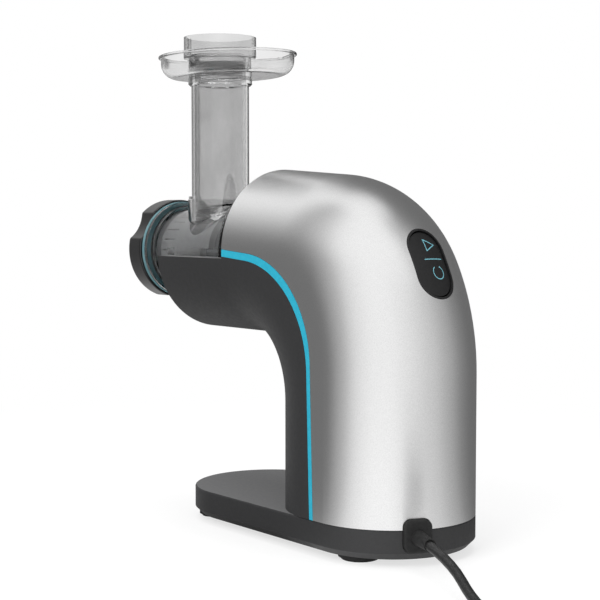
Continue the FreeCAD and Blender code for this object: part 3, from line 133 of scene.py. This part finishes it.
class Finish:
    """A material with a Principled shader, and the procedural layers laid over it."""

    def __init__(self, name, colour, rough, **sockets):
        self.slot = name
        self.made = bpy.data.materials.new("finish_" + name)
        self.made.use_nodes = True
        self.tree = self.made.node_tree
        self.shader = self.tree.nodes["Principled BSDF"]
        self.shader.inputs["Base Color"].default_value = colour
        self.shader.inputs["Roughness"].default_value = rough
        for socket, value in sockets.items():
            self.shader.inputs[socket.replace("_", " ")].default_value = value
        self.place = self.tree.nodes.new("ShaderNodeTexCoord").outputs["Object"]
        self.normal = None

    def noise(self, scale, detail=3.0, stretch=(1, 1, 1)):
        """Noise in the part's own frame, scale in features per metre."""
        mapping = self.tree.nodes.new("ShaderNodeMapping")
        mapping.inputs["Scale"].default_value = stretch
        texture = self.tree.nodes.new("ShaderNodeTexNoise")
        texture.inputs["Scale"].default_value = scale
        texture.inputs["Detail"].default_value = detail
        self.tree.links.new(self.place, mapping.inputs["Vector"])
        self.tree.links.new(mapping.outputs["Vector"], texture.inputs["Vector"])
        return texture.outputs["Fac"]

    def tint(self, other, scale, low=0.35, high=0.65, **more):
        """The base colour wanders to another colour."""
        ramp = self.tree.nodes.new("ShaderNodeValToRGB")
        ramp.color_ramp.elements[0].position = low
        ramp.color_ramp.elements[1].position = high
        ramp.color_ramp.elements[0].color = self.shader.inputs["Base Color"].default_value
        ramp.color_ramp.elements[1].color = other
        self.tree.links.new(self.noise(scale, **more), ramp.inputs["Fac"])
        self.tree.links.new(ramp.outputs["Color"], self.shader.inputs["Base Color"])
        return self

    def wear(self, scale, low, high, **more):
        """The roughness wanders between two values."""
        spread = self.tree.nodes.new("ShaderNodeMapRange")
        spread.inputs["From Min"].default_value = 0.3
        spread.inputs["From Max"].default_value = 0.7
        spread.inputs["To Min"].default_value = low
        spread.inputs["To Max"].default_value = high
        self.tree.links.new(self.noise(scale, **more), spread.inputs["Value"])
        self.tree.links.new(spread.outputs["Result"], self.shader.inputs["Roughness"])
        return self

    def facing(self, way, span, colour):
        """Another base colour where the surface faces a fixed direction, used here for painted light and
        painted shade.
        """
        turned = self.tree.nodes.new("ShaderNodeVectorMath")
        turned.operation = "DOT_PRODUCT"
        turned.inputs[1].default_value = way
        surface = self.tree.nodes.new("ShaderNodeNewGeometry")
        self.tree.links.new(surface.outputs["Normal"], turned.inputs[0])
        share = self.tree.nodes.new("ShaderNodeMapRange")
        share.interpolation_type = "SMOOTHSTEP"
        share.inputs["From Min"].default_value = span[0]
        share.inputs["From Max"].default_value = span[1]
        self.tree.links.new(turned.outputs["Value"], share.inputs["Value"])
        mix = self.tree.nodes.new("ShaderNodeMix")
        mix.data_type = "RGBA"
        first, second = [socket for socket in mix.inputs if socket.type == "RGBA"]
        mixed = [socket for socket in mix.outputs if socket.type == "RGBA"][0]
        second.default_value = colour
        below = self.shader.inputs["Base Color"].links[0].from_socket
        self.tree.links.new(share.outputs["Result"], mix.inputs["Factor"])
        self.tree.links.new(below, first)
        self.tree.links.new(mixed, self.shader.inputs["Base Color"])
        return self

    def grain(self, scale, height, strength=1.0, **more):
        """A fine relief, height in metres."""
        bump = self.tree.nodes.new("ShaderNodeBump")
        bump.inputs["Strength"].default_value = strength
        bump.inputs["Distance"].default_value = height
        self.tree.links.new(self.noise(scale, **more), bump.inputs["Height"])
        if self.normal:
            self.tree.links.new(self.normal, bump.inputs["Normal"])
        self.normal = bump.outputs["Normal"]
        self.tree.links.new(self.normal, self.shader.inputs["Normal"])
        return self


def clear(name, colour, other, rough):
    """A clear moulded plastic, with painted shade darker along the walls that turn away to the
    photograph's right.
    """
    plastic = Finish(name, colour, rough, Transmission_Weight=1.0, IOR=1.5)
    plastic.tint(other, 40, detail=1.0).wear(60, rough, rough * 2)
    # painted shade: a near-black base colour where the wall faces away to the right
    return plastic.facing(WALL_TURNED, WALL_SPAN, WALL_PAINTED_SHADE)


def finishes():
    """A finish for each material slot of the record, one for the pusher and one for the icons."""
    silver = Finish("satin_silver", (0.82, 0.82, 0.82, 1), 0.3, Metallic=1.0)
    silver.tint((0.92, 0.92, 0.92, 1), 1600, detail=2.0).wear(900, 0.28, 0.34)
    silver.grain(2200, 0.00002, 0.2)
    charcoal = Finish("charcoal_plastic", srgb(47, 47, 48), 0.5)
    charcoal.tint(srgb(51, 51, 52), 900).wear(300, 0.46, 0.54).grain(2200, 0.00003, 0.3)
    # painted light: upward-facing charcoal tops get a lighter grey base colour
    charcoal.facing((0, 0, 1), TOP_PAINTED_LIGHT_SPAN, srgb(120, 120, 121))
    black = Finish("black_plastic", srgb(26, 26, 27), 0.45)
    black.tint(srgb(34, 34, 35), 500).wear(260, 0.38, 0.55).grain(1500, 0.00005, 0.5)
    cyan = Finish("cyan_trim", srgb(31, 171, 200), 0.35)
    cyan.tint(srgb(38, 178, 206), 300).wear(200, 0.3, 0.42)
    rubber = Finish("black_rubber", srgb(30, 30, 30), 0.75)
    rubber.tint(srgb(40, 40, 40), 400).grain(1200, 0.0001, 0.6)
    bronze = Finish("bronze", (0.55, 0.38, 0.18, 1), 0.4, Metallic=1.0)
    bronze.tint((0.45, 0.30, 0.14, 1), 900).grain(2500, 0.00005, 0.6)
    gears = Finish("gear_plastic", (0.75, 0.73, 0.68, 1), 0.45)
    gears.tint((0.68, 0.66, 0.60, 1), 120).wear(300, 0.38, 0.55)
    steel = Finish("steel", (0.6, 0.6, 0.6, 1), 0.3, Metallic=1.0)
    steel.tint((0.52, 0.52, 0.53, 1), 300).wear(700, 0.22, 0.4, stretch=(1, 8, 1))
    copper = Finish("copper", (0.72, 0.33, 0.16, 1), 0.35, Metallic=1.0)
    copper.tint((0.6, 0.25, 0.12, 1), 900, stretch=(1, 6, 6)).grain(1500, 0.0002, 0.8)
    board = Finish("board", (0.03, 0.2, 0.07, 1), 0.4)
    board.tint((0.05, 0.27, 0.1, 1), 500).wear(300, 0.3, 0.5)
    jacket = Finish("cord_jacket", srgb(28, 28, 28), 0.5)
    jacket.tint(srgb(38, 38, 38), 300).wear(200, 0.42, 0.58).grain(1500, 0.00005, 0.5)
    key = Finish("key_black", srgb(24, 24, 25), 0.42)
    key.tint(srgb(30, 30, 31), 500).wear(260, 0.38, 0.46).grain(1600, 0.00004, 0.4)
    gloss = Finish("gloss_black", srgb(16, 16, 17), 0.12, Coat_Weight=0.6, Coat_Roughness=0.05)
    gloss.tint(srgb(22, 22, 23), 200).wear(150, 0.09, 0.18)
    strainer = Finish("strainer_grey", srgb(150, 152, 154), 0.4, Transmission_Weight=0.35)
    strainer.tint(srgb(160, 162, 164), 200).wear(200, 0.3, 0.5)
    auger = Finish("auger_grey", srgb(120, 123, 126), 0.35)
    auger.tint(srgb(130, 133, 136), 150).wear(200, 0.28, 0.45)
    teal = Finish("teal_silicone", srgb(120, 172, 182), 0.3, Transmission_Weight=0.4)
    teal.tint(srgb(140, 184, 192), 250).wear(200, 0.26, 0.4)
    plastic = clear("clear_plastic", srgb(240, 240, 240), srgb(236, 236, 236), 0.015)
    smoke = clear("pusher_plastic", srgb(226, 226, 226), srgb(221, 221, 221), 0.015)
    ink = Finish("icon_print", srgb(130, 200, 214), 0.5)
    ink.tint(srgb(120, 190, 204), 900).wear(400, 0.45, 0.55)
    made = [silver, charcoal, black, cyan, rubber, bronze, gears, steel, copper, board, jacket, key,
            gloss, strainer, auger, teal, plastic, smoke, ink]
    return {finish.slot: finish.made for finish in made}


def dress(finish):
    """Gives each CAD node the finish of its slots, and the pusher its darker one."""
    for node in nodes.values():
        for held in node.material_slots:
            held.material = finish[held.material.name.split(".")[0]]
    nodes["pusher"].material_slots[0].material = finish["pusher_plastic"]


def stroke(points, closed):
    """Both edges of a printed line of even width along points of the key's plane."""
    edges = []
    for at, point in enumerate(points):
        before = points[at - 1] if closed or at else point
        after = points[(at + 1) % len(points)] if closed or at + 1 < len(points) else point
        run = (after - point).normalized()
        along = (run + (point - before).normalized()).normalized()
        side = Vector((-along.y, along.x))
        lean = max(0.45, abs(along.dot(run))) if run.length else 1.0
        reach = side * (ICON_STROKE / 2 / lean)
        edges.append((point + reach, point - reach))
    return edges


def split(ends):
    """Points along the straight runs between some ends, without the last end."""
    return [first.lerp(last, step / ICON_STEPS)
            for first, last in zip(ends, ends[1:]) for step in range(ICON_STEPS)]


def key_icons(made):
    """The printed start and reverse marks, laid on the key's crowned face."""
    key = nodes["rocker_key"]
    inward = key.matrix_world.inverted()

    def on_key(spot):
        start = KEY_PLACE + Vector((spot.x, 0, 0)) + KEY_UP * spot.y + KEY_OUT * KEY_CLEAR
        hit = key.ray_cast(inward @ start, inward.to_3x3() @ -KEY_OUT)[1]
        return key.matrix_world @ hit + KEY_OUT * ICON_LIFT

    arrow = [Vector(corner) for corner in ARROW_CORNERS]
    divider = [Vector(end) for end in DIVIDER_ENDS]
    first_turn, last_turn = RING_ENDS
    rays = []
    for step in range(RING_STEPS + 1):
        turn = math.radians(first_turn + (last_turn - first_turn) * step / RING_STEPS)
        rays.append(Vector((math.cos(turn), math.sin(turn))))
    ring = [Vector(RING_CENTRE) + RING_RADIUS * ray for ray in rays]
    strokes = [(split(arrow + arrow[:1]), True), (split(divider) + divider[1:], False), (ring, False)]
    form = bmesh.new()
    for points, closed in strokes:
        rows = [[form.verts.new(on_key(spot)) for spot in pair] for pair in stroke(points, closed)]
        if closed:
            rows.append(rows[0])
        for first, last in zip(rows, rows[1:]):
            form.faces.new((first[0], first[1], last[1], last[0]))
    dot = [ring[0] + ICON_STROKE * ray for ray in rays[:34:3]]
    form.faces.new([form.verts.new(on_key(spot)) for spot in dot])
    mesh = bpy.data.meshes.new("key_icons")
    form.to_mesh(mesh)
    form.free()
    mesh.materials.append(made)
    piece = bpy.data.objects.new("key_icons", mesh)
    bpy.context.scene.collection.objects.link(piece)
    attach(piece, "key")


def coil_points(start, ahead):
    """Control points of the coil: in on the lower layer, a climb, and out on the upper one."""
    side = Vector((-ahead.y, ahead.x, 0))
    half = COIL_PITCH / 2
    radii = [COIL_RADIUS - i * half for i in range(COIL_TURNS_IN + 1)]
    outward = [radii[-1] + i * half for i in range(1, COIL_TURNS_OUT + 1)]
    radii += [radii[-1] - COIL_TUCK] + outward
    swell = 1 / math.cos(math.pi / (2 * COIL_STEPS))
    at = start + ahead * CORD_DIAMETER
    points = [start.lerp(at, 0.5)]
    for turn, (first, last) in enumerate(zip(radii, radii[1:])):
        sign = 1 if turn % 2 == 0 else -1
        reach = (first + last) / 2
        centre = at + side * sign * reach
        climb = COIL_PITCH if turn == COIL_TURNS_IN else 0.0
        for step in range(COIL_STEPS):
            share = (step + 0.5) / COIL_STEPS
            angle = math.pi * share
            spot = centre + swell * reach * sign * (ahead * math.sin(angle) - side * math.cos(angle))
            spot.z += climb * share
            points.append(spot)
        at = at + side * sign * (first + last) + Vector((0, 0, climb))
    end = at + ahead * COIL_LEAD_OUT
    return points + [at.lerp(end, 0.35), at.lerp(end, 0.7), end]


def lead(finish):
    """The mains lead, one smooth line from the gland to the plug."""
    route = [Vector(point) for point in CORD_ROUTE]
    ahead = route[-1] - route[-2]
    ahead.z = 0
    points = route + coil_points(route[-1], ahead.normalized())
    curve = bpy.data.curves.new("mains_lead", "CURVE")
    curve.dimensions = "3D"
    spline = curve.splines.new("NURBS")
    spline.points.add(len(points) - 1)
    for held, point in zip(spline.points, points):
        held.co = (*point, 1)
    spline.order_u = 3
    spline.use_endpoint_u = True
    spline.resolution_u = 6
    curve.bevel_depth = CORD_DIAMETER / 2
    curve.bevel_resolution = 6
    curve.use_fill_caps = True
    curve.materials.append(finish["cord_jacket"])
    piece = bpy.data.objects.new("mains_lead", curve)
    bpy.context.scene.collection.objects.link(piece)
    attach(piece, "housing")
    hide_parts("mains_cord", "cord_coil")


def camera():
    """The photograph's camera."""
    made = bpy.data.cameras.new("photo_camera")
    made.lens = CAMERA_LENS
    made.sensor_width = CAMERA_SENSOR
    made.clip_end = CAMERA_FAR
    held = bpy.data.objects.new("photo_camera", made)
    held.location = CAMERA_PLACE
    held.rotation_euler = Euler([math.radians(angle) for angle in CAMERA_TURN])
    bpy.context.scene.collection.objects.link(held)
    bpy.context.scene.camera = held


def seen_white(tree, lit, strength):
    """Shows a plain white to camera, glossy and transmitted rays, and the lit shader to the rest."""
    rays = tree.nodes.new("ShaderNodeLightPath")
    seen = rays.outputs["Is Camera Ray"]
    for kind in ("Is Glossy Ray", "Is Transmission Ray"):
        either = tree.nodes.new("ShaderNodeMath")
        either.operation = "MAXIMUM"
        tree.links.new(seen, either.inputs[0])
        tree.links.new(rays.outputs[kind], either.inputs[1])
        seen = either.outputs[0]
    kind = "ShaderNodeBackground" if lit.type == "BACKGROUND" else "ShaderNodeEmission"
    white = tree.nodes.new(kind)
    white.inputs["Color"].default_value = (1, 1, 1, 1)
    white.inputs["Strength"].default_value = strength
    mix = tree.nodes.new("ShaderNodeMixShader")
    tree.links.new(seen, mix.inputs["Fac"])
    tree.links.new(lit.outputs[0], mix.inputs[1])
    return mix, white


def stage():
    """A plain white floor that keeps a soft shadow, and a white surround."""
    material = bpy.data.materials.new("floor_white")
    material.use_nodes = True
    tree = material.node_tree
    tree.nodes.clear()
    out = tree.nodes.new("ShaderNodeOutputMaterial")
    lit = tree.nodes.new("ShaderNodeBsdfDiffuse")
    lit.inputs["Color"].default_value = FLOOR_COLOUR
    mix, white = seen_white(tree, lit, FLOOR_GLOW)
    half = tree.nodes.new("ShaderNodeBsdfDiffuse")
    half.inputs["Color"].default_value = FLOOR_SHADE
    both = tree.nodes.new("ShaderNodeAddShader")
    tree.links.new(white.outputs[0], both.inputs[0])
    tree.links.new(half.outputs[0], both.inputs[1])
    place = tree.nodes.new("ShaderNodeTexCoord").outputs["Object"]
    length = tree.nodes.new("ShaderNodeVectorMath")
    length.operation = "LENGTH"
    fade = tree.nodes.new("ShaderNodeMapRange")
    fade.interpolation_type = "SMOOTHSTEP"
    fade.inputs["From Min"].default_value = FLOOR_SHADOW_REACH[0]
    fade.inputs["From Max"].default_value = FLOOR_SHADOW_REACH[1]
    plain = tree.nodes.new("ShaderNodeEmission")
    nearby = tree.nodes.new("ShaderNodeMixShader")
    tree.links.new(place, length.inputs[0])
    tree.links.new(length.outputs["Value"], fade.inputs["Value"])
    tree.links.new(fade.outputs["Result"], nearby.inputs["Fac"])
    tree.links.new(both.outputs[0], nearby.inputs[1])
    tree.links.new(plain.outputs[0], nearby.inputs[2])
    tree.links.new(nearby.outputs[0], mix.inputs[2])
    tree.links.new(mix.outputs[0], out.inputs["Surface"])
    mesh = bpy.data.meshes.new("floor")
    corners = [(-FLOOR_HALF, -FLOOR_HALF, 0), (FLOOR_HALF, -FLOOR_HALF, 0),
               (FLOOR_HALF, FLOOR_HALF, 0), (-FLOOR_HALF, FLOOR_HALF, 0)]
    mesh.from_pydata(corners, [], [(0, 1, 2, 3)])
    mesh.materials.append(material)
    floor = bpy.data.objects.new("floor", mesh)
    bpy.context.scene.collection.objects.link(floor)


def surround():
    """The world: white where it is seen, and a plain level of light where it lights."""
    world = bpy.data.worlds.new("studio")
    bpy.context.scene.world = world
    world.use_nodes = True
    world.cycles.sampling_method = "NONE"
    tree = world.node_tree
    lit = tree.nodes["Background"]
    lit.inputs["Color"].default_value = (1, 1, 1, 1)
    lit.inputs["Strength"].default_value = WORLD_LIGHT
    mix, white = seen_white(tree, lit, 1.0)
    tree.links.new(white.outputs[0], mix.inputs[2])
    tree.links.new(mix.outputs[0], tree.nodes["World Output"].inputs["Surface"])


def flags():
    """A dark surround that only reflections see, open towards soft boxes."""
    material = bpy.data.materials.new("dark_flag")
    material.use_nodes = True
    tree = material.node_tree
    tree.nodes.clear()

    def made(kind, **settings):
        node = tree.nodes.new(kind)
        for name, value in settings.items():
            setattr(node, name, value)
        return node

    place = made("ShaderNodeTexCoord").outputs["Object"]
    turned = made("ShaderNodeVectorRotate", rotation_type="Z_AXIS")
    turned.inputs["Angle"].default_value = -CAMERA_AZIMUTH
    parts = made("ShaderNodeSeparateXYZ")
    tree.links.new(place, turned.inputs["Vector"])
    tree.links.new(turned.outputs["Vector"], parts.inputs["Vector"])
    azimuth = made("ShaderNodeMath", operation="ARCTAN2")
    tree.links.new(parts.outputs["Y"], azimuth.inputs[0])
    tree.links.new(parts.outputs["X"], azimuth.inputs[1])
    share = made("ShaderNodeMapRange")
    share.inputs["From Min"].default_value = -math.pi
    share.inputs["From Max"].default_value = math.pi
    tree.links.new(azimuth.outputs[0], share.inputs["Value"])

    def by_azimuth(levels):
        ramp = made("ShaderNodeValToRGB")
        ramp.color_ramp.interpolation = "EASE"
        stops = ramp.color_ramp.elements
        stops.remove(stops[0])
        stops[0].position = 1.0
        stops[0].color = (*[levels[-1][1]] * 3, 1)
        for angle, value in levels[:-1]:
            stops.new(angle / 360 + 0.5).color = (value, value, value, 1)
        tree.links.new(share.outputs["Result"], ramp.inputs["Fac"])
        return ramp.outputs["Color"]

    def by_height(rise):
        high = made("ShaderNodeMapRange", interpolation_type="SMOOTHSTEP")
        high.inputs["From Min"].default_value = FLAG_RADIUS * math.sin(math.radians(rise[0]))
        high.inputs["From Max"].default_value = FLAG_RADIUS * math.sin(math.radians(rise[1]))
        tree.links.new(parts.outputs["Z"], high.inputs["Value"])
        return high.outputs["Result"]

    def joined(operation, first, last):
        node = made("ShaderNodeMath", operation=operation)
        tree.links.new(first, node.inputs[0])
        tree.links.new(last, node.inputs[1])
        return node.outputs[0]

    upper = joined("MULTIPLY", by_azimuth(FLAG_SIDE_OPEN), by_height(FLAG_SIDE_RISE))
    sides = joined("MAXIMUM", by_azimuth(FLAG_OPEN), upper)
    openness = joined("MAXIMUM", sides, by_height(FLAG_TOP_RISE))
    dark = made("ShaderNodeEmission")
    dark.inputs["Strength"].default_value = FLAG_LEVEL
    gap = made("ShaderNodeBsdfTransparent")
    mix = made("ShaderNodeMixShader")
    out = made("ShaderNodeOutputMaterial")
    tree.links.new(openness, mix.inputs["Fac"])
    tree.links.new(dark.outputs[0], mix.inputs[1])
    tree.links.new(gap.outputs[0], mix.inputs[2])
    tree.links.new(mix.outputs[0], out.inputs["Surface"])
    form = bmesh.new()
    bmesh.ops.create_icosphere(form, subdivisions=5, radius=FLAG_RADIUS)
    for vert in form.verts:
        vert.co.z = max(vert.co.z, FLAG_FLOOR_GAP - FLAG_CENTRE[2])
    mesh = bpy.data.meshes.new("dark_flag")
    form.to_mesh(mesh)
    form.free()
    mesh.materials.append(material)
    held = bpy.data.objects.new("dark_flag", mesh)
    held.location = FLAG_CENTRE
    bpy.context.scene.collection.objects.link(held)
    held.visible_camera = False
    held.visible_diffuse = False
    held.visible_transmission = False
    held.visible_shadow = False


def lamp(name, place, aim, size, power):
    """A soft square lamp. The white surround makes the reflections, so this one shows in none."""
    made = bpy.data.lights.new(name, "AREA")
    made.shape = "RECTANGLE"
    made.size, made.size_y = size
    made.energy = power
    held = bpy.data.objects.new(name, made)
    held.location = place
    held.rotation_euler = (Vector(aim) - Vector(place)).to_track_quat("-Z", "Y").to_euler()
    held.visible_glossy = False
    bpy.context.scene.collection.objects.link(held)


camera()
stage()
surround()
flags()
for sizes in LAMPS:
    lamp(*sizes)
bpy.context.scene.view_settings.view_transform = "Standard"
finish = finishes()
dress(finish)
lead(finish)
key_icons(finish["icon_print"])
